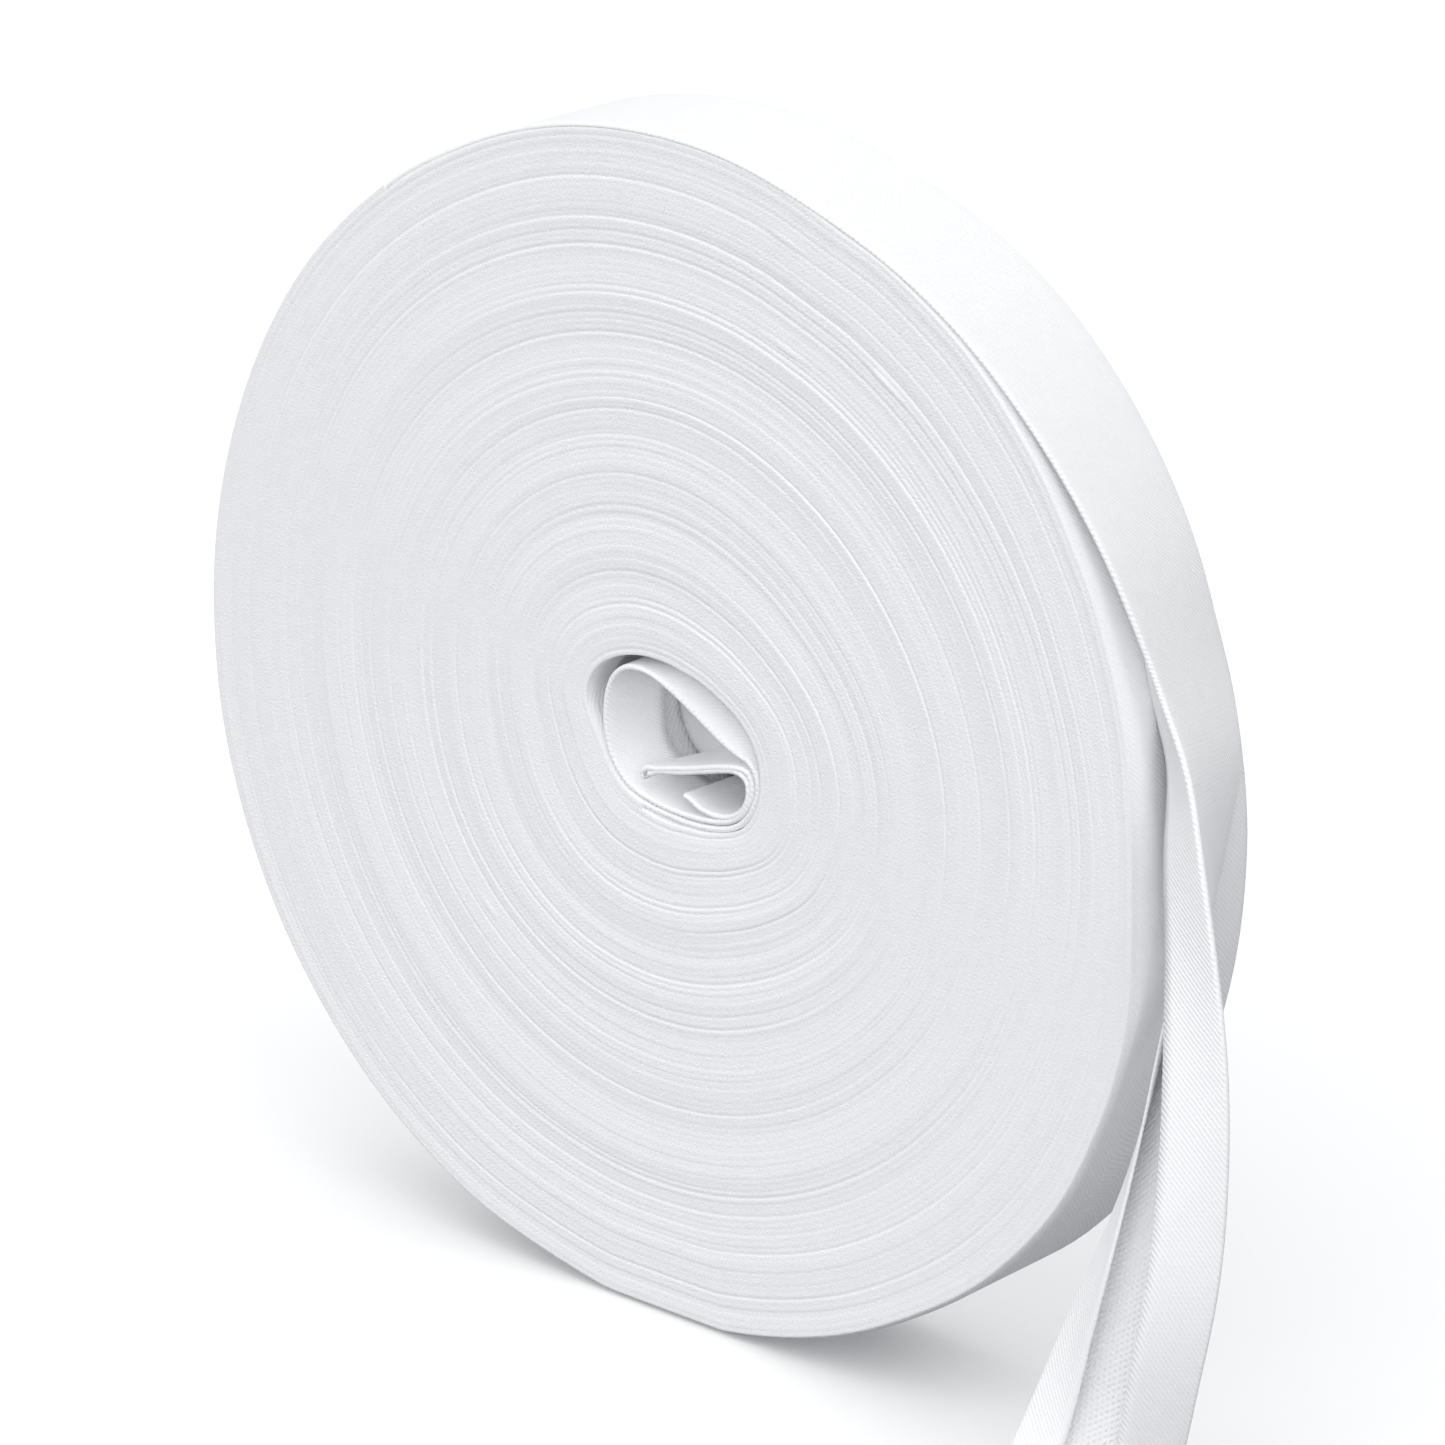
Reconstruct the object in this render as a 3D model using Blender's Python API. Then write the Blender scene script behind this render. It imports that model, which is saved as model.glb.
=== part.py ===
"""A roll of single-fold bias tape, standing on its rim with its outer end hanging down.

The frame is metres with +Z up. The roll's axis runs along Y, its front face looks toward -Y,
and the origin is the middle of the small flat spot on which the roll stands. Angles round the
roll start at +X and turn toward +Z.
"""
import math

import bmesh
import bpy
import numpy as np

MM = 0.001

# Driving sizes
TAPE_WIDTH = 13.05 * MM
ROLL_RADIUS = 51.0 * MM
TURN_PITCH = 0.53 * MM
FLAT_SPOT_DEPTH = 0.4 * MM
SHEET = 1.0 * MM
CLEARANCE = 0.3 * MM

# The roll
EDGE_ROUND = 0.35 * MM
ROLL_SEGMENTS = 80
WRAP_START = math.radians(125.0)
WRAP_END = math.radians(17.0)
RECESS_FADE = math.radians(60.0)
BOTTOM = math.radians(270.0)

# The hole: an oval, a little off the axis and leaning
HOLE_CENTRE = (2.3 * MM, 0.2 * MM)
HOLE_HALF_LENGTH = 10.2 * MM
HOLE_HALF_HEIGHT = 7.3 * MM
HOLE_LEAN = math.radians(-10.6)

# Steps of the front face, where bands of turns stand proud or sit back:
# share of the way from the hole to the rim, rise of the face in mm
FRONT_STEPS = (
    (0.00, -0.50),
    (0.06, 0.00),
    (0.15, -0.40),
    (0.20, 0.20),
    (0.27, -0.35),
    (0.36, 0.25),
    (0.43, -0.30),
    (0.52, 0.15),
    (0.60, -0.35),
    (0.68, 0.25),
    (0.76, -0.25),
    (0.86, 0.20),
    (0.93, -0.10),
)
BACK_STEPS = (
    (0.00, -0.30),
    (0.10, 0.20),
    (0.22, -0.30),
    (0.38, 0.25),
    (0.50, -0.20),
    (0.66, 0.20),
    (0.80, -0.25),
    (0.92, 0.10),
)

# The outer end on the roll: it lifts along its front edge before it leaves
LIFT_START = math.radians(65.0)
LIFT_AT_END = 3.7 * MM
WRAP_STATIONS = 13
SHOULDER = 0.2 * MM / ROLL_RADIUS
CLEAR_OF_SHOULDER = math.radians(1.5)
WRAP_GAP = CLEARANCE / ROLL_RADIUS + SHOULDER

# The outer end off the roll, measured from the roll's axis in mm. turn is how far the width has
# swung from +Y toward -X, and rise how far its far end points up, both in degrees. near_flap and
# far_flap are the angles in degrees by which the folded edges stand open.
HANGING_STATIONS = (
    # x, y, z, turn, rise, near_flap, far_flap
    (53.1, -1.7, 9.7, 19.5, -10.2, 30.0, 3.0),
    (55.0, -3.8, 3.7, 28.1, -19.4, 35.5, 10.0),
    (56.4, -5.9, -2.6, 40.6, -20.0, 35.8, 17.0),
    (57.3, -7.9, -8.9, 54.8, -16.2, 37.6, 24.0),
    (58.0, -9.6, -15.3, 63.8, -9.7, 41.2, 28.0),
    (58.1, -11.1, -21.7, 71.3, -2.7, 43.5, 30.0),
    (57.6, -12.7, -28.0, 80.0, 4.7, 43.6, 29.0),
    (56.3, -13.8, -34.3, 88.6, 13.0, 42.9, 24.0),
    (54.7, -14.6, -40.7, 100.6, 18.2, 39.0, 16.0),
    (53.6, -15.7, -45.1, 108.0, 14.6, 32.0, 12.0),
    (53.4, -18.2, -48.3, 111.0, 6.0, 20.0, 9.0),
    (54.6, -22.0, -49.8, 113.0, 1.0, 12.0, 8.0),
    (56.3, -26.0, -49.85, 114.0, 0.0, 10.0, 8.0),
    (58.0, -30.0, -49.85, 114.0, 0.0, 10.0, 8.0),
)
LOOSE_SECTIONS = 96

# The far folded edge shows as a flap of its own from this height down, in mm
FAR_FLAP_TOP = -4.0
FAR_FLAP_GROWTH = 8.0

# The tape's folded edges
NEAR_FLAP = 4.4 * MM
FAR_FLAP = 3.1 * MM
FOLD_GAP = 0.5 * MM
FOLD_STEPS = 3
FLAP_STEPS = 2
LEAST_STEP = 0.03 * MM

# The inner end's route across the hole, measured from the roll's axis in mm
INNER_ROUTE = (
    # x, z
    (9.9, 1.9),
    (7.6, 3.0),
    (5.2, 4.0),
    (2.8, 5.0),
    (0.6, 5.75),
    (-1.6, 5.9),
    (-3.6, 5.1),
    (-4.9, 3.5),
    (-5.4, 1.7),
    (-5.2, 0.0),
    (-4.2, -1.7),
    (-2.4, -3.5),
    (-0.6, -4.8),
    (1.4, -5.5),
    (3.6, -5.5),
    (5.8, -5.2),
    (8.0, -4.7),
    (9.8, -3.8),
    (10.5, -2.4),
    (9.9, -1.2),
    (8.2, -1.2),
    (5.6, -1.7),
    (2.6, -2.3),
    (0.4, -2.7),
)
INNER_SETBACK = 0.25 * MM
INNER_STEPS_PER_POINT = 3

CLOTH_COLOUR = (0.86, 0.865, 0.88, 1.0)
CLOTH_ROUGHNESS = 0.75


def clear_scene():
    """Remove whatever the file holds."""
    for thing in list(bpy.data.objects):
        bpy.data.objects.remove(thing, do_unlink=True)


def cloth_material(name):
    """White woven cloth."""
    material = bpy.data.materials.new(name)
    material.use_nodes = True
    shader = material.node_tree.nodes["Principled BSDF"]
    shader.inputs["Base Color"].default_value = CLOTH_COLOUR
    shader.inputs["Roughness"].default_value = CLOTH_ROUGHNESS
    shader.inputs["Metallic"].default_value = 0.0
    return material


def skin(name, rings, closed_ends):
    """Join rings of points into one closed mesh object.

    Every ring has the same number of points. With closed_ends the first and last rings are
    capped, and otherwise the last ring joins the first.
    """
    mesh = bpy.data.meshes.new(name)
    shape = bmesh.new()
    loops = [[shape.verts.new(point) for point in ring] for ring in rings]
    count = len(loops[0])
    joins = len(loops) - 1 if closed_ends else len(loops)
    for index in range(joins):
        here = loops[index]
        after = loops[(index + 1) % len(loops)]
        for corner in range(count):
            beside = (corner + 1) % count
            shape.faces.new((here[corner], here[beside], after[beside], after[corner]))
    if closed_ends:
        shape.faces.new(list(reversed(loops[0])))
        shape.faces.new(loops[-1])
    bmesh.ops.triangulate(shape, faces=shape.faces[:], quad_method="SHORT_EDGE")
    bmesh.ops.recalc_face_normals(shape, faces=shape.faces[:])
    shape.to_mesh(mesh)
    shape.free()
    mesh.shade_smooth()
    mesh.set_sharp_from_angle(angle=math.radians(40.0))
    mesh.materials.append(cloth_material(name + "_cloth"))
    thing = bpy.data.objects.new(name, mesh)
    bpy.context.scene.collection.objects.link(thing)
    return thing


def smooth_step(value):
    """Ease from 0 to 1."""
    value = min(max(value, 0.0), 1.0)
    return value * value * (3.0 - 2.0 * value)


def turn_from_wrap(angle):
    """How far an angle lies past the wrap's start, going the long way round, as 0 to 1."""
    return ((angle - WRAP_START) % math.tau) / math.tau


def spiral_radius(angle):
    """The wound turns' outer radius, one pitch smaller after a whole turn."""
    return ROLL_RADIUS - TURN_PITCH * turn_from_wrap(angle)


AXIS_HEIGHT = spiral_radius(BOTTOM) - FLAT_SPOT_DEPTH


def roll_radius(angle):
    """The solid roll's radius, set back where the outer end's sheet lies on it."""
    deep = ROLL_RADIUS - SHEET - CLEARANCE
    plain = spiral_radius(angle)
    behind = (WRAP_START - angle) % math.tau
    covered = WRAP_START - WRAP_END
    if behind <= covered:
        return deep
    return deep + (plain - deep) * smooth_step((behind - covered) / RECESS_FADE)


def hole_point(angle):
    """The hole's edge in the direction of one angle of its oval."""
    along = HOLE_HALF_LENGTH * math.cos(angle - HOLE_LEAN)
    across = HOLE_HALF_HEIGHT * math.sin(angle - HOLE_LEAN)
    x = HOLE_CENTRE[0] + along * math.cos(HOLE_LEAN) - across * math.sin(HOLE_LEAN)
    z = HOLE_CENTRE[1] + along * math.sin(HOLE_LEAN) + across * math.cos(HOLE_LEAN)
    return x, z


def roll_profile():
    """One closed profile: share of the way out from the hole, extra radius, and y."""
    half = TAPE_WIDTH / 2
    front = [(share, 0.0, -half - rise * MM) for share, rise in FRONT_STEPS]
    back = [(share, 0.0, half + rise * MM) for share, rise in reversed(BACK_STEPS)]
    rim = [
        (1.0, -EDGE_ROUND, -half),
        (1.0, 0.0, -half + EDGE_ROUND),
        (1.0, 0.0, half - EDGE_ROUND),
        (1.0, -EDGE_ROUND, half),
    ]
    return front + rim + back


def roll_angles():
    """Even steps round the roll, with a close pair at the recess's square shoulder."""
    angles = [BOTTOM + math.tau * step / ROLL_SEGMENTS for step in range(ROLL_SEGMENTS)]
    start = WRAP_START + math.tau
    kept = [angle for angle in angles if abs(angle - start) > CLEAR_OF_SHOULDER]
    return sorted(kept + [start - SHOULDER, start + SHOULDER])


def make_wound_roll():
    """The wound turns as one solid with the hole, the stepped faces and the flat spot."""
    profile = roll_profile()
    rings = []
    for angle in roll_angles():
        inner = hole_point(angle)
        radius = roll_radius(angle)
        ring = []
        for share, extra, y in profile:
            reach = radius + extra
            x = inner[0] + (reach * math.cos(angle) - inner[0]) * share
            z = inner[1] + (reach * math.sin(angle) - inner[1]) * share
            ring.append((x, y, max(z + AXIS_HEIGHT, 0.0)))
        rings.append(ring)
    return skin("wound_roll", rings, closed_ends=False)


def spline(rows, samples):
    """Points on a natural cubic curve through the rows, evenly spaced along it."""
    rows = np.asarray(rows, dtype=float)
    steps = np.linalg.norm(np.diff(rows[:, :3], axis=0), axis=1)
    knots = np.concatenate([[0.0], np.cumsum(steps)])
    count = len(rows)
    matrix = np.eye(count)
    right = np.zeros_like(rows)
    for index in range(1, count - 1):
        before = steps[index - 1]
        after = steps[index]
        matrix[index, index - 1] = before
        matrix[index, index] = 2.0 * (before + after)
        matrix[index, index + 1] = after
        slope_after = (rows[index + 1] - rows[index]) / after
        slope_before = (rows[index] - rows[index - 1]) / before
        right[index] = 6.0 * (slope_after - slope_before)
    bend = np.linalg.solve(matrix, right)
    result = []
    for place in np.linspace(0.0, knots[-1], samples):
        index = min(int(np.searchsorted(knots, place, side="right")) - 1, count - 2)
        gap = steps[index]
        back = (knots[index + 1] - place) / gap
        ahead = (place - knots[index]) / gap
        straight = back * rows[index] + ahead * rows[index + 1]
        curved = (back ** 3 - back) * bend[index] + (ahead ** 3 - ahead) * bend[index + 1]
        result.append(straight + curved * gap * gap / 6.0)
    return np.array(result)


def wrap_station(angle):
    """Where the sheet lies on the roll: its middle, and its width's turn and rise."""
    rest = ROLL_RADIUS - SHEET / 2
    lift = LIFT_AT_END * max((LIFT_START - angle) / (LIFT_START - WRAP_END), 0.0) ** 2
    outward = np.array([math.cos(angle), 0.0, math.sin(angle)])
    along_y = math.sqrt(TAPE_WIDTH ** 2 - lift ** 2)
    near = outward * (rest + lift) + np.array([0.0, -TAPE_WIDTH / 2, 0.0])
    far = outward * rest + np.array([0.0, -TAPE_WIDTH / 2 + along_y, 0.0])
    middle = (near + far) / 2
    width = (far - near) / TAPE_WIDTH
    turn = math.degrees(math.atan2(-width[0], width[1]))
    rise = math.degrees(math.asin(width[2]))
    return (*(middle / MM), turn, rise, 0.0, 0.0)


def half_section(open_angle, flap, share):
    """One half of the tape's cross-section, from its middle outward to the flap's raw edge.

    Gives the points of its right side and of its wrong side as (across, out) rows. A share of 0
    leaves the edge a plain single sheet, and 1 gives the full folded flap, opened by its angle.
    """
    fold_length = math.pi * (SHEET + FOLD_GAP) / 2
    turn = share * (math.pi - open_angle) / FOLD_STEPS
    heading = 0.0
    line = [np.zeros(2)]
    headings = [0.0]
    for _ in range(FOLD_STEPS):
        middle = heading + turn / 2
        reach = fold_length * share / FOLD_STEPS + LEAST_STEP
        line.append(line[-1] + reach * np.array([math.cos(middle), -math.sin(middle)]))
        heading += turn
        headings.append(heading)
    for _ in range(FLAP_STEPS):
        reach = flap * share / FLAP_STEPS + LEAST_STEP
        line.append(line[-1] + reach * np.array([math.cos(heading), -math.sin(heading)]))
        headings.append(heading)
    line = np.array(line)
    normals = np.array([[math.sin(angle), math.cos(angle)] for angle in headings])
    right_side = line + normals * SHEET / 2
    wrong_side = line - normals * SHEET / 2
    shift = TAPE_WIDTH / 2 - max(right_side[:, 0].max(), wrong_side[:, 0].max())
    right_side[:, 0] += shift
    wrong_side[:, 0] += shift
    return right_side, wrong_side


def tape_section(near_angle, far_angle, near_share, far_share):
    """The tape's whole cross-section, as one outline of (across, out) rows."""
    far_right, far_wrong = half_section(math.radians(far_angle), FAR_FLAP, far_share)
    near_right, near_wrong = half_section(math.radians(near_angle), NEAR_FLAP, near_share)
    mirror = np.array([-1.0, 1.0])
    middle = np.array([[0.0, SHEET / 2]])
    return np.vstack([
        (near_right * mirror)[::-1],
        middle,
        far_right,
        far_wrong[::-1],
        middle * np.array([1.0, -1.0]),
        near_wrong * mirror,
    ])


def loose_end_stations():
    """The whole outer end's path: position, the width's turn and rise, and the flaps."""
    angles = np.linspace(WRAP_START - WRAP_GAP, WRAP_END, WRAP_STATIONS)
    wrapped = [(*wrap_station(angle), 0.0, 0.0) for angle in angles]
    hanging = []
    for row in HANGING_STATIONS:
        near_share = 1.0
        far_share = smooth_step((FAR_FLAP_TOP - row[2]) / FAR_FLAP_GROWTH)
        hanging.append((*row, near_share, far_share))
    return wrapped + hanging


def make_loose_end():
    """The outer end: flat on the roll, then a folded tape that twists down to the surface."""
    path = spline(loose_end_stations(), LOOSE_SECTIONS)
    middles = path[:, :3] * MM + np.array([0.0, 0.0, AXIS_HEIGHT])
    tangents = np.gradient(middles, axis=0)
    tangents /= np.linalg.norm(tangents, axis=1)[:, None]
    rings = []
    for middle, tangent, row in zip(middles, tangents, path):
        turn = math.radians(row[3])
        rise = math.radians(row[4])
        level = math.cos(rise)
        width = np.array([-math.sin(turn) * level, math.cos(turn) * level, math.sin(rise)])
        width -= tangent * width.dot(tangent)
        width /= np.linalg.norm(width)
        outward = np.cross(tangent, width)
        near_share = smooth_step(row[7])
        far_share = smooth_step(row[8])
        outline = tape_section(max(row[5], 0.0), max(row[6], 0.0), near_share, far_share)
        ring = [middle + width * across + outward * out for across, out in outline]
        rings.append([(x, y, max(z, 0.0)) for x, y, z in ring])
    return skin("loose_end", rings, closed_ends=True)


def make_inner_end():
    """The inner end: a sheet on its edge that loops round the hole and ends in a tongue."""
    samples = INNER_STEPS_PER_POINT * (len(INNER_ROUTE) - 1) + 1
    route = spline([(x, 0.0, z) for x, z in INNER_ROUTE], samples) * MM
    tangents = np.gradient(route, axis=0)
    tangents /= np.linalg.norm(tangents, axis=1)[:, None]
    half = TAPE_WIDTH / 2 - INNER_SETBACK
    rings = []
    for middle, tangent in zip(route, tangents):
        aside = np.array([-tangent[2], 0.0, tangent[0]]) * SHEET / 2
        centre = middle + np.array([0.0, 0.0, AXIS_HEIGHT])
        depth = np.array([0.0, half, 0.0])
        rings.append([tuple(centre + shift) for shift in
                      (aside - depth, aside + depth, -aside + depth, -aside - depth)])
    return skin("inner_end", rings, closed_ends=True)


def main():
    """Build every piece."""
    clear_scene()
    make_wound_roll()
    make_loose_end()
    make_inner_end()


main()
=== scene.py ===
"""Looks for the roll of bias tape: fine wound turns, thin folded cloth ends and the studio."""
import math

import bpy
import numpy as np
from mathutils import Matrix, Vector


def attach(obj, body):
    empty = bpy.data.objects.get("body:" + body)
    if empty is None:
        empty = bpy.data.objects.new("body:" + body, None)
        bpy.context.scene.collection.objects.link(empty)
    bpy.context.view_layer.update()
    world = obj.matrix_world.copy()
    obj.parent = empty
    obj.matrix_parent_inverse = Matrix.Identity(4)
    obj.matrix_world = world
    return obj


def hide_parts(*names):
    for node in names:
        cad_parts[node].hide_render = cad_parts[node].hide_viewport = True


MM = 0.001

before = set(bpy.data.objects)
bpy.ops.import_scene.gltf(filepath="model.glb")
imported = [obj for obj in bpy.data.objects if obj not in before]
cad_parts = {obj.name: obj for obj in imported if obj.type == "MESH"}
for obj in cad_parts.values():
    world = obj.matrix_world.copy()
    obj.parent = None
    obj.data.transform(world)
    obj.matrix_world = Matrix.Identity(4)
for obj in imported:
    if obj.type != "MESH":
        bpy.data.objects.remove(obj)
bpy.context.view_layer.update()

# Driving sizes, as in the part's source
TAPE_WIDTH = 13.05 * MM
ROLL_RADIUS = 51.0 * MM
TURN_PITCH = 0.53 * MM
FLAT_SPOT_DEPTH = 0.4 * MM
WRAP_START = math.radians(125.0)
WRAP_END = math.radians(17.0)
BOTTOM = math.radians(270.0)
HALF_WIDTH = TAPE_WIDTH / 2

# The cloth and its folded edges
CLOTH = 0.24 * MM
LAYER_GAP = 0.03 * MM
NEAR_FLAP = 5.6 * MM
FAR_FLAP = 4.3 * MM

# The fine turns in steps; the part turn puts the winding's inner end near the hole's bottom
STEPS_PER_TURN = 192
PART_TURN_STEPS = 72
INNER_STEPS = 40 * STEPS_PER_TURN + PART_TURN_STEPS
OUTER_STEPS = 40 * STEPS_PER_TURN
TURNS = (INNER_STEPS + OUTER_STEPS) / STEPS_PER_TURN
# Across one turn's fold: share of the pitch, share of the groove before, share of the one after
FOLD_PROFILE = (
    (0.00, 1.00, 0.00),
    (0.18, 0.45, 0.00),
    (0.40, 0.05, 0.00),
    (0.60, 0.00, 0.05),
    (0.82, 0.00, 0.45),
)
FOLD_POINTS = len(FOLD_PROFILE)
# The grooves between the turns: what all of them have, and what the open ones have besides
COMMON_GROOVE = 0.010 * MM
DEEP_GROOVE = 0.065 * MM
OPEN_FROM = 0.2
OPEN_OVER = 1.6
# How unevenly the folds stand out: turn by turn, in narrow bands and slowly round the axis
LOOSE_TURN = 0.009 * MM
LOOSE_BAND = 0.009 * MM
SLOW_RISE = 0.04 * MM
NARROW_BANDS = 60.0
BAND_SWAY = 0.6
BAND_SWAY_START = 2.0
BAND_SHARE = 0.3
FRONT_SEED = 11
BACK_SEED = 23
# How far the turns run out of round: lobes that lean outward, a slow wave and single turns
LOBE_RISE = 0.18 * MM
LOBE_COUNT = 3.0
LOBE_LEAN = 9.0
SLOW_WAVE = 0.10 * MM
UNEVEN_TURNS = 0.03 * MM
# Shares of the way out from which the outline, the drawn-in folds and the flat spot are felt
OUTLINE_FROM = 0.55
DRAW_FROM = 0.86
FLAT_SPOT_FROM = 0.7

# Where the lines of the rim and of the hidden walls lie, as shares of the tape's width
RIM_STATIONS = (0.0, 0.02, 0.05, 0.09, 0.15, 0.3, 0.5, 0.7, 0.85, 0.91, 0.95, 0.98, 1.0)
WALL_STATIONS = (0.0, 0.1, 0.25, 0.5, 0.75, 0.9, 1.0)
# The bare rim: its edges' rounding, more where folds draw in, its bulge and its folds' setback
RIM_ROUND = 0.28 * MM
DRAWN_IN_ROUND = 1.3
RIM_BULGE = 0.20 * MM
RIM_EASE = 0.20 * MM
BARE_FADE = math.radians(14.0)
# The rim under the loose end: the arc it lies flat on, the arc where it comes free, the swell
COVERED_ARC = math.radians(52.0)
COVER_FADE = math.radians(12.0)
COVERED_FILL = 0.15 * MM
# The winding's weave in mm: the step to which radii are rounded and the shift from turn to turn
WEAVE_RADIUS_STEP = 1.5
WEAVE_TURN_SHIFT = 7.37

# The roll's outline, out of true: degrees round the axis, mm
OUTLINE = (
    (0.0, 0.0),
    (12.0, -0.2),
    (20.0, -0.3),
    (28.0, 0.0),
    (40.0, 0.25),
    (50.0, 0.4),
    (60.0, 0.2),
    (68.0, -0.25),
    (76.0, 0.0),
    (100.0, 0.1),
    (116.0, -0.1),
    (140.0, 0.0),
    (162.0, -0.12),
    (178.0, 0.0),
    (194.0, 0.25),
    (210.0, 0.28),
    (226.0, 0.2),
    (242.0, 0.0),
    (258.0, -0.5),
    (268.0, -0.3),
    (282.0, 0.0),
    (300.0, 0.25),
    (320.0, 0.4),
    (340.0, 0.25),
)

# How far the outermost turns' front folds draw in below the lifted end: degrees, mm
FRONT_DRAW = (
    (0.0, 1.15),
    (7.0, 0.95),
    (13.0, 0.5),
    (20.0, 0.2),
    (30.0, 0.25),
    (40.0, 0.1),
    (50.0, 0.0),
    (180.0, 0.0),
    (300.0, 0.0),
    (315.0, -0.4),
    (326.0, -0.5),
    (337.0, -0.15),
    (344.0, 0.1),
    (350.0, 0.4),
    (355.0, 0.9),
)

# How the hole's edge is eased: degrees either way, their step, the cosine's radians at the ends
HOLE_EASE_REACH = 8.0
HOLE_EASE_STEP = 2.0
HOLE_EASE_FALL = 1.2

# The hole's edge: degrees round the axis, distance in mm
HOLE_EDGE = (
    (-4.0, 11.4),
    (5.0, 11.3),
    (17.0, 10.6),
    (39.0, 8.6),
    (63.0, 7.3),
    (86.0, 6.95),
    (110.0, 7.15),
    (136.0, 7.7),
    (150.0, 7.75),
    (162.0, 7.5),
    (172.0, 6.8),
    (182.0, 6.1),
    (194.0, 5.7),
    (215.0, 5.5),
    (241.0, 5.5),
    (262.0, 5.5),
    (278.0, 5.9),
    (299.0, 6.9),
    (318.0, 8.8),
    (332.0, 10.7),
    (345.0, 11.4),
)

# Bands of turns that stand proud or sit back: share of the way out, rise in mm
FRONT_BANDS = (
    (0.00, -0.50),
    (0.06, 0.00),
    (0.15, -0.30),
    (0.20, 0.15),
    (0.27, -0.25),
    (0.36, 0.20),
    (0.43, -0.20),
    (0.52, 0.12),
    (0.60, -0.25),
    (0.68, 0.20),
    (0.76, -0.20),
    (0.86, 0.15),
    (0.93, -0.05),
    (1.00, 0.05),
)
BACK_BANDS = (
    (0.00, -0.30),
    (0.10, 0.20),
    (0.22, -0.30),
    (0.38, 0.25),
    (0.50, -0.20),
    (0.66, 0.20),
    (0.80, -0.25),
    (0.92, 0.10),
    (1.00, 0.05),
)

# Joins in the tape, where the fold stands proud: degrees, share of radius, rise in mm, degrees
SEAM_JOINS = (
    (55.0, 0.840, 0.15, 1.6),
    (72.0, 0.920, 0.11, 1.4),
    (68.0, 0.755, 0.11, 1.4),
    (226.0, 0.510, 0.09, 1.8),
)

# The outer end on the roll: how it lifts, how its near flap opens and how its start is tucked in
LIFT_START = math.radians(65.0)
LIFT_AT_END = 3.7 * MM
OPENING_START = math.radians(34.0)
OPENING_AT_END = 30.0
WRAP_STATIONS = 13
TUCKED_ARC = math.radians(6.0)
TUCKED_DEPTH = 0.30 * MM

# The outer end off the roll: millimetres from the roll's axis, then degrees
HANGING_STATIONS = (
    # x, y, z, turn, rise, near_flap, far_flap
    (53.1, -1.7, 9.7, 19.5, -10.2, 30.0, 3.0),
    (55.0, -3.8, 3.7, 28.1, -19.4, 35.5, 10.0),
    (56.4, -5.9, -2.6, 40.6, -20.0, 35.8, 17.0),
    (57.3, -7.9, -8.9, 54.8, -16.2, 37.6, 24.0),
    (58.0, -9.6, -15.3, 63.8, -9.7, 41.2, 30.0),
    (58.1, -11.1, -21.7, 71.3, -2.7, 43.5, 33.0),
    (57.6, -12.7, -28.0, 80.0, 4.7, 43.6, 31.0),
    (56.3, -13.8, -34.3, 88.6, 13.0, 42.9, 25.0),
    (54.7, -14.6, -40.7, 100.6, 18.2, 39.0, 16.0),
    (53.6, -15.7, -45.1, 108.0, 14.6, 34.0, 10.0),
    (53.4, -18.2, -48.4, 111.0, 6.0, 28.0, 9.0),
    (54.6, -22.0, -49.95, 113.0, 1.0, 24.0, 9.0),
    (56.3, -26.0, -50.2, 114.0, 0.0, 22.0, 9.0),
    (58.0, -30.0, -50.2, 114.0, 0.0, 22.0, 9.0),
)
LOOSE_SECTIONS = 420
FOLD_STEPS = 8
PANEL_STEPS = 10
FLAP_STEPS = 6

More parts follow.
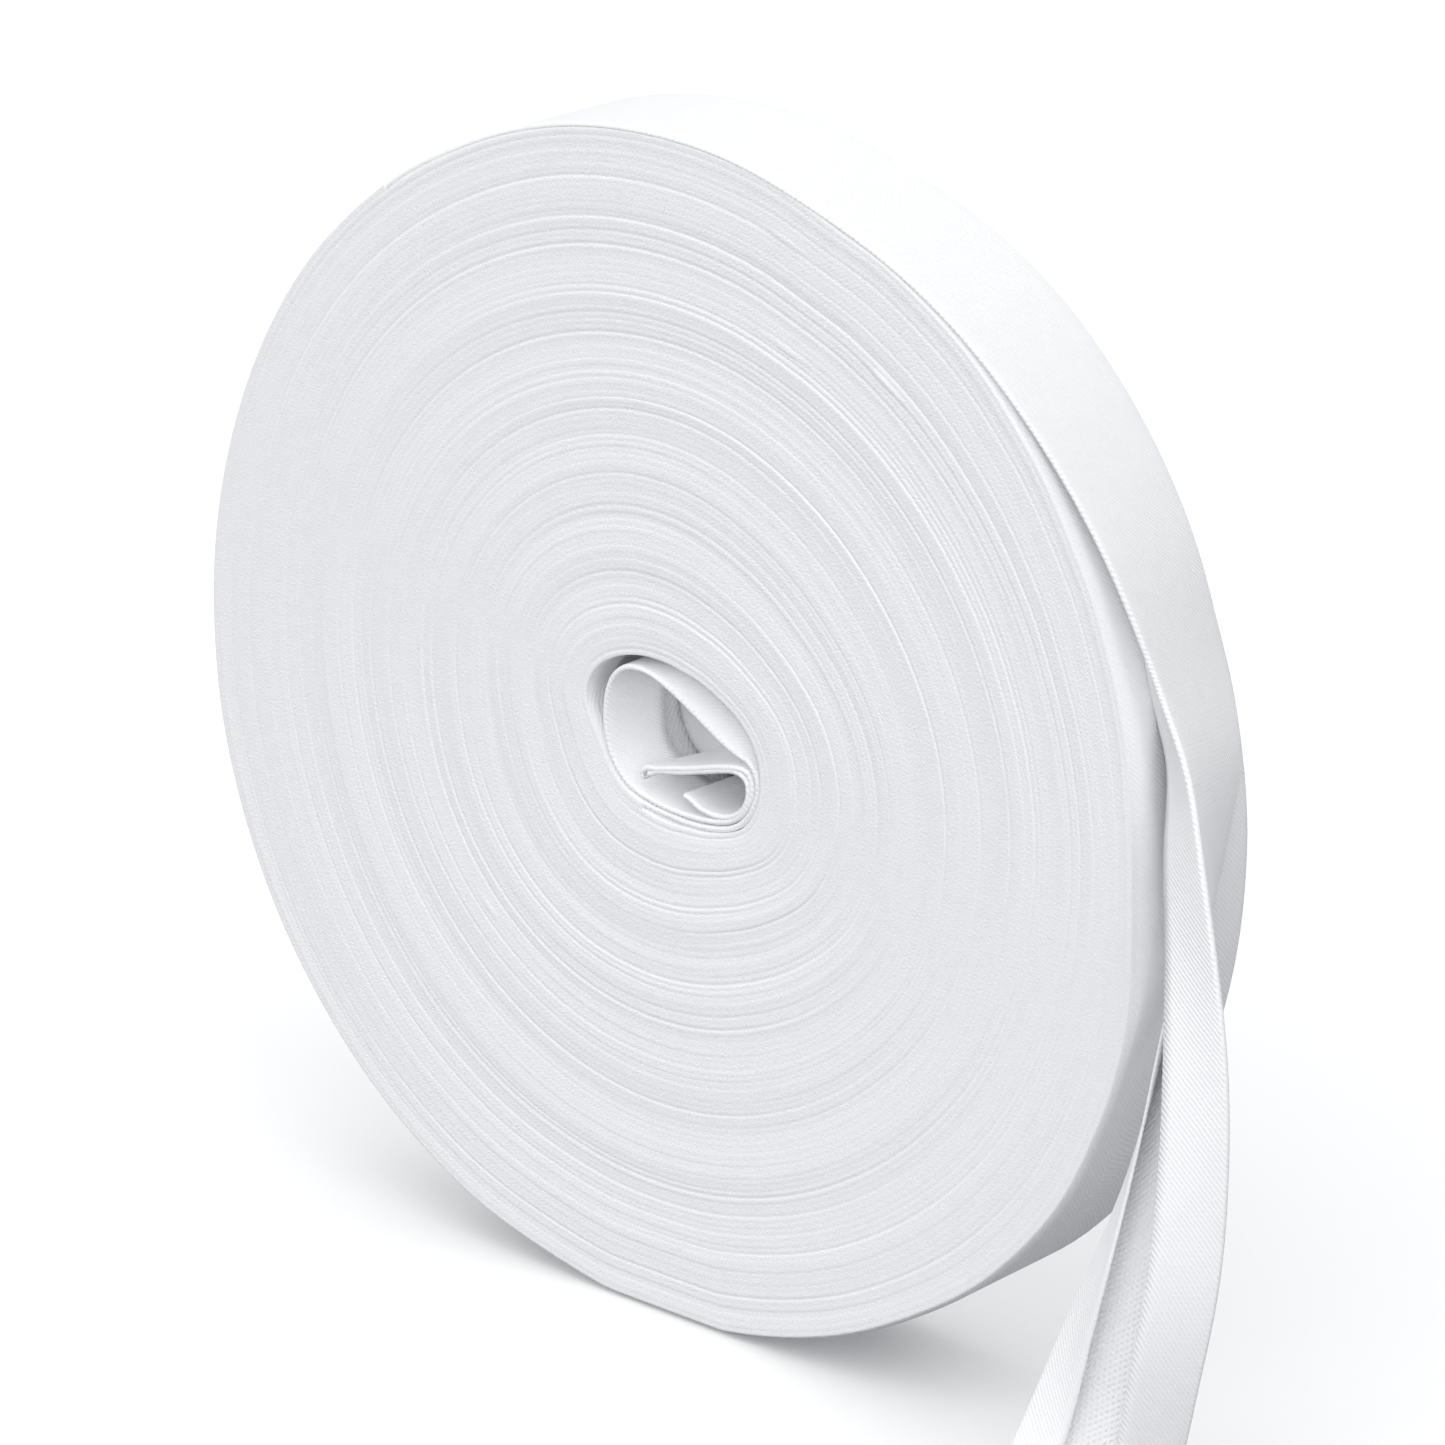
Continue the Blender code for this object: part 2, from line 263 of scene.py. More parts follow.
# The inner end's route from its cut end outward: mm from the roll's axis, two angles in degrees, mm
INNER_ROUTE = (
    # x, z, tip, open, draw
    (3.3, -3.7, -2.0, 0.0, 0.0),
    (3.9, -3.85, -2.0, 0.0, 0.0),
    (4.7, -4.25, -2.0, 0.0, 0.0),
    (6.0, -4.6, -2.0, 0.0, 0.0),
    (7.6, -4.55, -2.0, 0.0, 0.0),
    (9.0, -3.95, -2.0, 0.0, 0.0),
    (9.85, -2.9, -2.0, 0.0, 0.0),
    (10.05, -1.8, -2.0, 0.0, 0.0),
    (9.75, -0.95, -3.0, 0.0, 0.0),
    (9.0, -0.62, -4.0, 0.0, 0.0),
    (7.9, -0.72, -5.0, 0.0, 0.0),
    (5.95, -1.23, -6.0, 0.0, 0.0),
    (3.83, -1.82, -6.0, 0.0, 0.0),
    (1.72, -2.32, -6.0, 0.0, 0.0),
    (0.22, -2.67, -6.0, 0.0, 0.0),
    (-0.92, -2.95, -6.0, 0.0, 0.0),
    (-1.22, -2.72, -6.0, 0.0, 0.0),
    (-0.98, -2.42, -6.0, 0.0, 0.0),
    (0.1, -2.15, -6.0, 0.0, 0.0),
    (1.6, -1.8, -6.0, 0.0, 0.0),
    (3.7, -1.3, -6.0, 0.0, 0.0),
    (5.8, -0.7, -6.0, 0.0, 0.0),
    (7.8, -0.2, -5.0, 0.0, 0.0),
    (9.2, 0.0, -3.0, 0.0, 0.0),
    (10.2, -0.2, -1.0, 0.0, 0.0),
    (10.65, -0.95, 0.0, 0.0, 0.0),
    (10.7, -2.0, 0.0, 0.0, 0.0),
    (10.2, -3.3, 0.0, 0.0, 0.0),
    (8.8, -4.75, 0.0, 0.0, 0.0),
    (6.7, -5.45, 0.0, 1.0, 0.0),
    (4.0, -5.65, 0.0, 3.0, 0.0),
    (1.3, -5.5, 0.0, 9.0, 0.0),
    (-0.8, -5.15, 0.0, 13.0, 0.0),
    (-2.6, -4.5, 0.0, 15.0, 0.0),
    (-4.2, -3.1, 0.0, 17.0, 0.0),
    (-5.15, -1.2, 0.0, 20.0, 0.0),
    (-5.45, 0.8, 0.0, 22.0, 0.0),
    (-5.3, 2.8, 0.0, 22.0, 0.0),
    (-4.6, 4.6, 0.0, 20.0, 0.0),
    (-3.2, 5.85, 0.0, 15.0, 0.05),
    (-1.2, 6.45, 0.0, 10.0, 0.4),
    (1.1, 6.95, 0.0, 6.0, 1.5),
    (3.9, 6.4, 0.0, 4.0, 2.35),
    (6.9, 4.9, 0.0, 2.0, 2.6),
    (9.3, 3.3, 0.0, 0.0, 2.2),
    (10.9, 1.6, 0.0, 0.0, 1.1),
    (11.4, -0.1, 0.0, 0.0, 0.3),
    (11.3, -1.9, 0.0, 0.0, 0.0),
    (10.6, -3.7, 0.0, 0.0, 0.0),
    (9.0, -5.3, 0.0, 0.0, 0.0),
    (6.7, -6.05, 0.0, 0.0, 0.0),
    (3.9, -6.25, 0.0, 0.0, 0.0),
    (1.2, -6.05, 0.0, 0.0, 0.0),
    (-0.9, -5.75, 0.0, 0.0, 0.0),
    (-2.0, -5.45, 0.0, 0.0, 0.0),
    (-2.9, -5.05, 0.0, 0.0, 0.0),
)
INNER_FAR_OPENING = 3.0
# How far in from the near edge a draw is felt, and how far past the edge it still grows
DRAW_REACH = 7.0 * MM
DRAW_LIMIT = 1.1
INNER_SETBACK = 0.25 * MM
INNER_SECTIONS = 560

# The cloths: colour, roughness, rib pitch in mm, relief, lean in degrees, bead and grain
CLOTHS = {
    "tape_right_side": ((0.925, 0.928, 0.943), 0.65, 0.34, 0.015 * MM, -45.0, 0.45, 1.6),
    # The wrong side's colour is a little lighter than the right side's: painted light that brightens
    # the hole's inside and the gaps between the flaps
    "tape_wrong_side": ((0.955, 0.958, 0.972), 0.80, 0.44, 0.026 * MM, -42.0, 0.90, 1.0),
    "tape_fold_edges": ((0.925, 0.928, 0.943), 0.70, 0.34, 0.003 * MM, -45.0, 0.45, 24.0),
}
SHEEN = 0.05
SHEEN_ROUGHNESS = 0.5
# The yarns that cross the ribs: their number for each rib and their lean with it
YARNS_PER_RIB = 0.8
YARN_LEAN = 0.5
# Noise in the weave, as scale per mm and detail: straying ribs, loose fibre, blotches of shade
STRAY_NOISE = (0.9, 1.0)
STRAY_AMOUNT = 1.6
FIBRE_NOISE = (5.0, 3.0)
BLOTCH_NOISE = (0.35, 4.0)
DARK_BLOTCH = 0.975
LIGHT_BLOTCH = 1.02

# The studio's surround above and below the horizon, and how gradually one becomes the other
HORIZON_BLUR = 0.25
SURROUND_ABOVE = (0.565, 0.57, 0.58, 1.0)
SURROUND_BELOW = (0.195, 0.198, 0.212, 1.0)
# Each light's direction, share of the light on the cloth and softness in degrees
STUDIO_LIGHTS = (
    ("key", (0.36, -0.50, 0.42), 0.44, 80.0),
    ("side", (-0.65, -0.70, 0.25), 0.18, 60.0),
    ("fill", (0.62, -0.71, 0.33), 0.08, 12.0),
    ("top", (0.0, 0.0, 1.0), 0.14, 60.0),
    ("back", (-0.25, 0.90, 0.35), 0.20, 60.0),
)
# The floor
FLOOR_HALF = 4.0
FLOOR_DROP = 0.1 * MM
FLOOR_COLOUR = (1.0, 1.0, 1.0)
FLOOR_ROUGHNESS = 0.9


def spiral_radius(angle):
    """The wound turns' outer radius, one pitch smaller after a whole turn."""
    return ROLL_RADIUS - TURN_PITCH * (((angle - WRAP_START) % math.tau) / math.tau)


AXIS_HEIGHT = spiral_radius(BOTTOM) - FLAT_SPOT_DEPTH


def smooth_step(value):
    """Ease from 0 to 1."""
    value = np.clip(value, 0.0, 1.0)
    return value * value * (3.0 - 2.0 * value)


def spline(rows, samples):
    """Points on a natural cubic curve through the rows, evenly spaced along it."""
    rows = np.asarray(rows, dtype=float)
    steps = np.linalg.norm(np.diff(rows[:, :3], axis=0), axis=1)
    knots = np.concatenate([[0.0], np.cumsum(steps)])
    count = len(rows)
    matrix = np.eye(count)
    right = np.zeros_like(rows)
    for index in range(1, count - 1):
        before = steps[index - 1]
        after = steps[index]
        matrix[index, index - 1] = before
        matrix[index, index] = 2.0 * (before + after)
        matrix[index, index + 1] = after
        slope_after = (rows[index + 1] - rows[index]) / after
        slope_before = (rows[index] - rows[index - 1]) / before
        right[index] = 6.0 * (slope_after - slope_before)
    bend = np.linalg.solve(matrix, right)
    result = []
    for place in np.linspace(0.0, knots[-1], samples):
        index = min(int(np.searchsorted(knots, place, side="right")) - 1, count - 2)
        gap = steps[index]
        back = (knots[index + 1] - place) / gap
        ahead = (place - knots[index]) / gap
        straight = back * rows[index] + ahead * rows[index + 1]
        curved = (back ** 3 - back) * bend[index] + (ahead ** 3 - ahead) * bend[index + 1]
        result.append(straight + curved * gap * gap / 6.0)
    return np.array(result)


def drift(values, seed, waves, slowest, fastest):
    """Smooth, even noise of about unit size along one value."""
    random = np.random.default_rng(seed)
    rates = np.exp(random.uniform(math.log(slowest), math.log(fastest), waves))
    phases = random.uniform(0.0, math.tau, waves)
    total = np.zeros_like(values)
    for rate, phase in zip(rates, phases):
        total += np.sin(values * rate + phase)
    return total * math.sqrt(2.0 / waves)


def ripple(angles, seed, waves, fewest, most):
    """Smooth noise of about unit size that closes on itself after a whole turn."""
    random = np.random.default_rng(seed)
    counts = random.integers(fewest, most + 1, waves)
    phases = random.uniform(0.0, math.tau, waves)
    total = np.zeros_like(angles)
    for count, phase in zip(counts, phases):
        total += np.sin(angles * count + phase)
    return total * math.sqrt(2.0 / waves)


def distances(points):
    """How far each point lies along the line through all of them."""
    steps = np.linalg.norm(np.diff(points, axis=0), axis=1)
    return np.concatenate([[0.0], np.cumsum(steps)])


def unit(vectors):
    """The vectors' directions, at length 1."""
    return vectors / np.linalg.norm(vectors, axis=1)[:, None]


def square_to(tangents, widths):
    """Width directions turned square to the path."""
    return unit(widths - tangents * (widths * tangents).sum(axis=1)[:, None])


def make_mesh(name, points, faces, uvs=None):
    """A mesh object from points, quads and one pair of weave coordinates for each corner."""
    mesh = bpy.data.meshes.new(name)
    faces = np.asarray(faces, dtype=np.int32)
    mesh.vertices.add(len(points))
    mesh.vertices.foreach_set("co", np.asarray(points, dtype=np.float32).ravel())
    mesh.loops.add(faces.size)
    mesh.loops.foreach_set("vertex_index", faces.ravel())
    mesh.polygons.add(len(faces))
    mesh.polygons.foreach_set("loop_start", np.arange(0, faces.size, 4, dtype=np.int32))
    if uvs is not None:
        layer = mesh.uv_layers.new(name="weave")
        layer.data.foreach_set("uv", np.asarray(uvs, dtype=np.float32).reshape(-1, 2).ravel())
    mesh.update(calc_edges=True)
    mesh.validate()
    mesh.shade_smooth()
    thing = bpy.data.objects.new(name, mesh)
    bpy.context.scene.collection.objects.link(thing)
    return thing


def closed_table(table):
    """A table of degrees and values, repeated for the turn before and the turn after."""
    rows = np.array(table)
    places = np.concatenate([rows[:, 0] - 360.0, rows[:, 0], rows[:, 0] + 360.0])
    return places, np.tile(rows[:, 1], 3)


def hole_radius(angles):
    """The hole's edge as a smooth closed curve through its table."""
    places, values = closed_table(HOLE_EDGE)
    shifts = np.arange(-HOLE_EASE_REACH, HOLE_EASE_REACH + HOLE_EASE_STEP / 2, HOLE_EASE_STEP)
    weights = np.cos(HOLE_EASE_FALL * shifts / HOLE_EASE_REACH)
    total = np.zeros_like(angles)
    for shift, weight in zip(shifts, weights):
        degrees = (np.degrees(angles) + shift) % 360.0
        total += weight * np.interp(degrees, places, values)
    return total / weights.sum() * MM


def around(table, angles):
    """A closed table of degrees and mm, eased between its rows, in metres."""
    places, values = closed_table(table)
    degrees = np.degrees(angles) % 360.0
    index = np.clip(np.searchsorted(places, degrees, side="right") - 1, 0, len(places) - 2)
    share = (degrees - places[index]) / (places[index + 1] - places[index])
    return (values[index] + (values[index + 1] - values[index]) * smooth_step(share)) * MM


def outward_from(start, share):
    """Ease from 0 at this share of the way out to 1 at the rim."""
    return smooth_step((share - start) / (1.0 - start))


def turn_place(turned, share_in_turn, side):
    """Where a point of the winding lies in the XZ plane round the axis.

    turned is the winding's whole angle from its inner end, outward and clockwise as seen from
    the front. It ends at the angle where the loose outer turn begins.
    """
    angle = WRAP_START + math.tau * TURNS - turned
    share = (turned / math.tau + share_in_turn) / (TURNS + 1)
    inner = hole_radius(angle)
    rim = ROLL_RADIUS + around(OUTLINE, angle)
    outer = ROLL_RADIUS + around(OUTLINE, angle) * outward_from(OUTLINE_FROM, share)
    if side < 0:
        outer = outer - around(FRONT_DRAW, angle) * outward_from(DRAW_FROM, share)
    fade = np.sin(math.pi * np.clip(share, 0.0, 1.0))
    wave = LOBE_RISE * np.sin(LOBE_COUNT * angle + LOBE_LEAN * share)
    wave = wave + SLOW_WAVE * ripple(angle, seed=5, waves=5, fewest=1, most=4)
    place = turned + math.tau * share_in_turn
    wave = wave + UNEVEN_TURNS * drift(place, seed=7, waves=12, slowest=0.1, fastest=0.6)
    radius = inner + (outer - inner) * share + fade * wave
    over = np.maximum(rim * -np.sin(angle) - AXIS_HEIGHT, 0.0)
    give = over * outward_from(FLAT_SPOT_FROM, share)
    x = radius * np.cos(angle)
    z = np.maximum(radius * np.sin(angle) + give, -AXIS_HEIGHT)
    return x, z, share, angle


def band_rise(bands, share):
    """The face's slow rise and fall from the hole to the rim."""
    table = np.array(bands)
    return BAND_SHARE * np.interp(share, table[:, 0], table[:, 1]) * MM


def join_rise(turned, angle):
    """How far the front fold stands proud where two lengths of tape are joined."""
    rise = np.zeros_like(turned)
    for degrees, radius_share, height, length in SEAM_JOINS:
        centre = math.radians(degrees)
        off = (angle - centre + math.pi) % math.tau - math.pi
        inner = hole_radius(np.array([centre]))[0]
        wanted = (ROLL_RADIUS * radius_share - inner) / (ROLL_RADIUS - inner) * (TURNS + 1)
        own = np.abs(turned / math.tau - wanted) < 0.5
        rise += own * height * MM * np.exp(-((off / math.radians(length)) ** 2))
    return rise


def groove_depth(turned, seed):
    """How deep the groove inside this turn is: mostly faint, here and there open."""
    loose = drift(turned, seed, waves=30, slowest=0.1, fastest=2.0)
    return COMMON_GROOVE + DEEP_GROOVE * smooth_step((loose - OPEN_FROM) / OPEN_OVER)


def face_height(side, turned, share, angle, before, after):
    """How far a face point stands out along the axis, measured from the roll's middle."""
    seed = FRONT_SEED if side < 0 else BACK_SEED
    rise = band_rise(FRONT_BANDS if side < 0 else BACK_BANDS, share)
    rise = rise + LOOSE_TURN * drift(turned, seed, waves=24, slowest=0.2, fastest=5.0)
    across = NARROW_BANDS * share + BAND_SWAY * np.sin(angle + BAND_SWAY_START)
    rise = rise + LOOSE_BAND * drift(across, seed + 1, waves=12, slowest=0.3, fastest=2.0)
    rise = rise + SLOW_RISE * ripple(angle, seed + 2, waves=4, fewest=1, most=3)
    if side < 0:
        rise = rise + join_rise(turned, angle)
    groove = before * groove_depth(turned, seed + 3)
    groove = groove + after * groove_depth(turned + math.tau, seed + 3)
    return HALF_WIDTH + rise - groove


def rim_cover(turned):
    """How far the loose end covers the outermost turn, and how far that turn's rim lies bare."""
    covered = 1.0 - smooth_step((turned - turned[0] - COVERED_ARC) / COVER_FADE)
    bare = (1.0 - covered) * smooth_step((turned[-1] - turned) / BARE_FADE)
    return covered, bare


def face_points(side, turned, last, cover):
    """One face's points, column by column, then the open outer edge of the last turn.

    cover is what rim_cover says of that edge, or None where more turns lie outside it.
    """
    rows = []
    for share_in_turn, before, after in FOLD_PROFILE:
        x, z, share, angle = turn_place(turned, share_in_turn, side)
        y = side * face_height(side, turned, share, angle, before, after)
        rows.append(np.stack([x, y, z + AXIS_HEIGHT], axis=1))
    columns = np.stack(rows, axis=1).reshape(-1, 3)
    x, z, share, angle = turn_place(last, 0.0, side)
    height = face_height(side, last, share, angle, 1.0, 0.0)
    if cover is not None:
        covered, bare = cover
        height = height - RIM_EASE * bare
        swell = 1.0 + covered * COVERED_FILL / ROLL_RADIUS
        x = x * swell
        z = z * swell
    edge = np.stack([x, side * height, z + AXIS_HEIGHT], axis=1)
    return np.concatenate([columns, edge])


def fold_index(column, row):
    """Index of a fold's point on its face: a column for each step, a row across the fold."""
    return column * FOLD_POINTS + row


def closing_index(column, steps):
    """Index of the groove point outside a column's last fold point."""
    inside = column + STEPS_PER_TURN
    edge = fold_index(steps + 1, 0) + column - (steps - STEPS_PER_TURN + 1)
    return np.where(inside <= steps, fold_index(inside, 0), edge)


def face_quads(steps):
    """The front face's quads, from the hole outward in every column."""
    column = np.arange(steps)
    rows = [(fold_index(column, row), fold_index(column + 1, row)) for row in range(FOLD_POINTS)]
    rows.append((closing_index(column, steps), closing_index(column + 1, steps)))
    quads = []
    for (here, ahead), (here_out, ahead_out) in zip(rows, rows[1:]):
        quads.append(np.stack([here, ahead, ahead_out, here_out], axis=1))
    return np.concatenate(quads)


def wall_ring(start, end, share, bulge):
    """One line of a wall between the faces. A bulge rounds the wall over at both its edges."""
    ring = start + (end - start) * share
    if bulge is not None:
        across = end[:, 1] - start[:, 1]
        front_out = np.hypot(start[:, 0], start[:, 2] - AXIS_HEIGHT)
        back_out = np.hypot(end[:, 0], end[:, 2] - AXIS_HEIGHT)
        full = np.maximum(front_out, back_out)
        straight = front_out + (back_out - front_out) * share
        front_round = RIM_ROUND + DRAWN_IN_ROUND * (full - front_out)
        near = np.clip(1.0 - share * across / front_round, 0.0, 1.0)
        far = np.clip(1.0 - (1.0 - share) * across / RIM_ROUND, 0.0, 1.0)
        wanted = full - (full - front_out) * near ** 2 - (full - back_out) * far ** 2
        wanted = wanted + bulge * (1.0 - near ** 2 - far ** 2)
        ring[:, 0] *= wanted / straight
        ring[:, 2] = (ring[:, 2] - AXIS_HEIGHT) * wanted / straight + AXIS_HEIGHT
    ring[:, 2] = np.maximum(ring[:, 2], 0.0)
    return ring


def make_wall(points, line, to_back, total, stations, bulge, joined):
    """Points and quads that bridge a line on the front and its twin on the back.

    A joined wall shares the faces' points. Any other has edges of its own, so that no shading
    blends round the corner. total is how many points there are before it.
    """
    line = np.array(line)
    rings = []
    rows = []
    for share in stations:
        if joined and share in (0.0, 1.0):
            rows.append(line + (to_back if share else 0))
            continue
        rows.append(total + len(line) * len(rings) + np.arange(len(line)))
        rings.append(wall_ring(points[line], points[line + to_back], share, bulge))
    quads = []
    for here, beyond in zip(rows, rows[1:]):
        quads.append(np.stack([here[:-1], here[1:], beyond[1:], beyond[:-1]], axis=1))
    return np.concatenate(rings), np.concatenate(quads)


def weave_coordinates(points, faces):
    """The winding's weave coordinates in mm for each corner: across the tape, then along it."""
    radius = np.hypot(points[:, 0], points[:, 2] - AXIS_HEIGHT) / MM
    angle = np.arctan2(points[:, 2] - AXIS_HEIGHT, points[:, 0])
    beyond = np.clip(points[:, 1] / MM, -HALF_WIDTH / MM, HALF_WIDTH / MM)
    rim = ROLL_RADIUS / MM
    across = beyond + np.sign(beyond) * (rim - radius)
    first = angle[faces[:, :1]]
    corner_angle = first + (angle[faces] - first + math.pi) % math.tau - math.pi
    reach = radius[faces].mean(axis=1, keepdims=True)
    turn_number = np.floor((rim - reach) / (TURN_PITCH / MM))
    along = -corner_angle * np.round(reach / WEAVE_RADIUS_STEP) * WEAVE_RADIUS_STEP
    along = along + turn_number * WEAVE_TURN_SHIFT
    return np.stack([across[faces], along], axis=2)


def make_turns(name, first_step, steps):
    """One piece of the winding, from first_step on, with a fold for every turn."""
    turned = math.tau * (first_step + np.arange(steps + 1)) / STEPS_PER_TURN
    last = turned[steps - STEPS_PER_TURN + 1:] + math.tau
    innermost = first_step == 0
    outermost = first_step + steps == INNER_STEPS + OUTER_STEPS
    cover = rim_cover(last) if outermost else None
    front = face_points(-1.0, turned, last, cover)
    back = face_points(1.0, turned, last, cover)
    points = np.concatenate([front, back])
    to_back = len(front)
    face = face_quads(steps)
    faces = [face, face[:, ::-1] + to_back]

    inner_edge = [fold_index(column, 0) for column in range(STEPS_PER_TURN + 1)]
    first_fold = [inner_edge[-1]] + [fold_index(0, row) for row in reversed(range(FOLD_POINTS))]
    outer_edge = [fold_index(steps, 0)]
    for column in range(steps - STEPS_PER_TURN + 1, steps + 1):
        outer_edge.append(int(closing_index(column, steps)))
    last_fold = [outer_edge[-1]] + [fold_index(steps, row) for row in reversed(range(FOLD_POINTS))]
    rim_bulge = RIM_BULGE * np.append(0.0, cover[1]) if outermost else None
    blocks = [points]
    total = len(points)
    for line, inward, stations, bulge, joined in (
        (inner_edge, True, WALL_STATIONS, None, innermost),
        (first_fold, True, WALL_STATIONS, None, False),
        (outer_edge, False, RIM_STATIONS, rim_bulge, outermost),
        (last_fold, False, RIM_STATIONS, None, False),
    ):
        rings, quads = make_wall(points, line, to_back, total, stations, bulge, joined)
        blocks.append(rings)
        total += len(rings)
        faces.append(quads[:, ::-1] if inward else quads)
    every = np.concatenate(blocks)
    faces = np.concatenate(faces)
    on_face = np.arange(len(faces)) < 2 * len(face)
    return make_mesh(name, every, faces, weave_coordinates(every, faces)), on_face


def half_line(open_angle, flap):
    """One half of the folded tape's middle line, from the panel's end to the flap's raw edge."""
    fold_length = math.pi * (CLOTH + LAYER_GAP) / 2
    fold_step = fold_length / FOLD_STEPS
    flap_step = (flap - fold_length) / FLAP_STEPS
    turn = (math.pi - open_angle) / FOLD_STEPS
    line = [np.zeros(2)]
    headings = [0.0]
    for _ in range(FOLD_STEPS):
        middle = headings[-1] + turn / 2
        line.append(line[-1] + fold_step * np.array([math.cos(middle), -math.sin(middle)]))
        headings.append(headings[-1] + turn)
    heading = headings[-1]
    for _ in range(FLAP_STEPS):
        line.append(line[-1] + flap_step * np.array([math.cos(heading), -math.sin(heading)]))
        headings.append(heading)
    line = np.array(line)
    headings = np.array(headings)
    reach = (line[:, 0] + np.sin(headings) * CLOTH / 2).max()
    line[:, 0] += HALF_WIDTH - reach
    return line, headings


def tape_line(near_angle, far_angle):
    """The folded tape's middle line and the direction of its right side, edge to edge."""
    far, far_heading = half_line(math.radians(far_angle), FAR_FLAP)
    near, near_heading = half_line(math.radians(near_angle), NEAR_FLAP)
    near = near * [-1.0, 1.0]
    inner = np.linspace(near[0], far[0], PANEL_STEPS + 1)[1:-1]
    line = np.vstack([near[::-1], inner, far])
    normal_near = np.stack([-np.sin(near_heading), np.cos(near_heading)], axis=1)
    normal_far = np.stack([np.sin(far_heading), np.cos(far_heading)], axis=1)
    flat = np.tile([0.0, 1.0], (len(inner), 1))
    normals = np.vstack([normal_near[::-1], flat, normal_far])
    return line, normals


def shortening(draws):
    """How much less far the tape reaches across where its near edge is drawn in on a curve."""
    slope = 2.0 * draws / DRAW_REACH
    return slope ** 2 / 6.0 * DRAW_REACH


def drawn_in(outline, draw):
    """The tape's outline with its near edge drawn in."""
    nearness = np.clip((DRAW_REACH - HALF_WIDTH - outline[:, 0]) / DRAW_REACH, 0.0, DRAW_LIMIT)
    shorter = shortening(draw) * nearness ** 3
    return outline + np.stack([shorter, -draw * nearness ** 2], axis=1)


def make_tape(name, middles, tangents, widths, near_angles, far_angles, draws=None, lowest=None):
    """A folded tape with real thickness, swept along a path; draws pull its near edge inward."""
    outward = np.cross(tangents, widths)
    rings = []
    for index, middle in enumerate(middles):
        line, normals = tape_line(near_angles[index], far_angles[index])
        right_side = line + normals * CLOTH / 2
        wrong_side = line - normals * CLOTH / 2
        outline = np.vstack([right_side, wrong_side[::-1]])
        if draws is not None:
            outline = drawn_in(outline, draws[index])
        rings.append(middle + outline[:, :1] * widths[index] + outline[:, 1:] * outward[index])
    rings = np.array(rings)
    if lowest is not None:
        rings[:, :, 2] = np.maximum(rings[:, :, 2], lowest)
    stations, corners, _ = rings.shape
    side_count = corners // 2
    line, _ = tape_line(near_angles[0], far_angles[0])
    across = distances(line) / MM
    across = np.concatenate([across, across[::-1]])
    along = distances(middles) / MM
    here = np.arange(stations - 1) * corners
    ahead = here + corners
    faces = []
    uvs = []
    wrong = []
    for corner in range(corners):
        beside = (corner + 1) % corners
        faces.append(np.stack([here + corner, here + beside, ahead + beside, ahead + corner], axis=1))
        own = np.full(stations - 1, across[corner])
        other = np.full(stations - 1, across[beside])
        u = np.stack([own, other, other, own], axis=1)
        v = np.stack([along[:-1], along[:-1], along[1:], along[1:]], axis=1)
        uvs.append(np.stack([u, v], axis=2))
        wrong.append(np.full(stations - 1, side_count <= corner < corners - 1))
    # The cut ends, as thin strips between the cloth's two sides
    for station, order in ((0, 1), (stations - 1, -1)):
        base = station * corners
        for corner in range(side_count - 1):
            twin = corners - 1 - corner
            quad = [base + corner, base + corner + 1, base + twin - 1, base + twin]
            own = [across[corner], along[station]]
            other = [across[corner + 1], along[station]]
            faces.append(np.array([quad[::order]]))
            uvs.append(np.array([[own, other, other, own][::order]]))
            wrong.append(np.array([False]))
    faces = np.concatenate(faces)
    uvs = np.concatenate(uvs)
    thing = make_mesh(name, rings.reshape(-1, 3), faces[:, ::-1], uvs[:, ::-1])
    return thing, np.concatenate(wrong)


def wrap_station(angle):
    """Where the outer end lies on the roll: its middle, and its width's turn and rise."""
    rest = ROLL_RADIUS + float(around(OUTLINE, np.array([angle]))[0]) - CLOTH / 2
    rest -= TUCKED_DEPTH * float(smooth_step((angle - WRAP_START) / TUCKED_ARC))
    lift = LIFT_AT_END * max((LIFT_START - angle) / (LIFT_START - WRAP_END), 0.0) ** 2
    outward = np.array([math.cos(angle), 0.0, math.sin(angle)])
    along_y = math.sqrt(TAPE_WIDTH ** 2 - lift ** 2)
    near = outward * (rest + lift) + np.array([0.0, -HALF_WIDTH, 0.0])
    far = outward * rest + np.array([0.0, -HALF_WIDTH + along_y, 0.0])
    middle = (near + far) / 2
    width = (far - near) / TAPE_WIDTH
    turn = math.degrees(math.atan2(-width[0], width[1]))
    rise = math.degrees(math.asin(width[2]))
    opened = smooth_step((OPENING_START - angle) / (OPENING_START - WRAP_END))
    return (*(middle / MM), turn, rise, OPENING_AT_END * float(opened), 0.0)


def make_loose_end():
    """The outer end: tucked in, on the roll, lifting, then twisting down to the surface.

    In its table, turn is how far the width has swung from +Y toward -X and rise how far its far
    end points up. near_flap and far_flap say how far the flaps stand open.
    """
    tucked = [WRAP_START + TUCKED_ARC, WRAP_START + TUCKED_ARC / 2]
    angles = tucked + list(np.linspace(WRAP_START, WRAP_END, WRAP_STATIONS))
    wrapped = [wrap_station(angle) for angle in angles]
    path = spline(wrapped + list(HANGING_STATIONS), LOOSE_SECTIONS)
    middles = path[:, :3] * MM + np.array([0.0, 0.0, AXIS_HEIGHT])
    tangents = unit(np.gradient(middles, axis=0))
    turn = np.radians(path[:, 3])
    rise = np.radians(path[:, 4])
    widths = np.stack([-np.sin(turn) * np.cos(rise), np.cos(turn) * np.cos(rise), np.sin(rise)], axis=1)
    widths = square_to(tangents, widths)
    near = np.maximum(path[:, 5], 0.0)
    far = np.maximum(path[:, 6], 0.0)
    thing, wrong = make_tape("loose_end_cloth", middles, tangents, widths, near, far, lowest=0.0)
    return thing, wrong, distances(middles)[-1]


